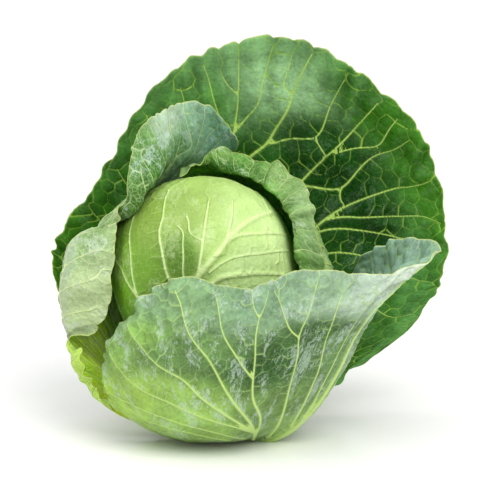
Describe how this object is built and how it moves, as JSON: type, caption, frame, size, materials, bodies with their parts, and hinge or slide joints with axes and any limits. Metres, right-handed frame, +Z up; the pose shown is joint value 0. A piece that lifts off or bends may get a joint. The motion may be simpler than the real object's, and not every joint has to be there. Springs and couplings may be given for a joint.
{
  "type": "cabbage head",
  "caption": "Fresh white cabbage with a tight round pale head, a cut stalk and loose dark and waxy outer leaves standing open around it.",
  "frame": {"origin": "centre of the cut face under the stalk, on the surface the cabbage rests on", "axes": "+Z up, -Y towards the side where the open front leaf cups the head, +X towards the tip of that leaf"},
  "size_m": [0.3427, 0.234, 0.3224],
  "materials": {
    "head": "satin, waxy pale green leaf",
    "stalk": "satin, moist cut stalk",
    "front_leaf": "matt, bluish wax bloom on green",
    "back_leaf": "semi-gloss dark green leaf with pale veins",
    "left_leaf": "matt, whitish wax bloom on green",
    "right_curled_leaf": "satin green leaf",
    "lower_left_leaf": "satin bright green leaf"
  },
  "bodies": {
    "root": {"head": "head", "stalk": "stalk", "front_leaf": "front_leaf", "back_leaf": "back_leaf", "left_leaf": "left_leaf", "right_curled_leaf": "right_curled_leaf", "lower_left_leaf": "lower_left_leaf"}
  },
  "joints": []
}
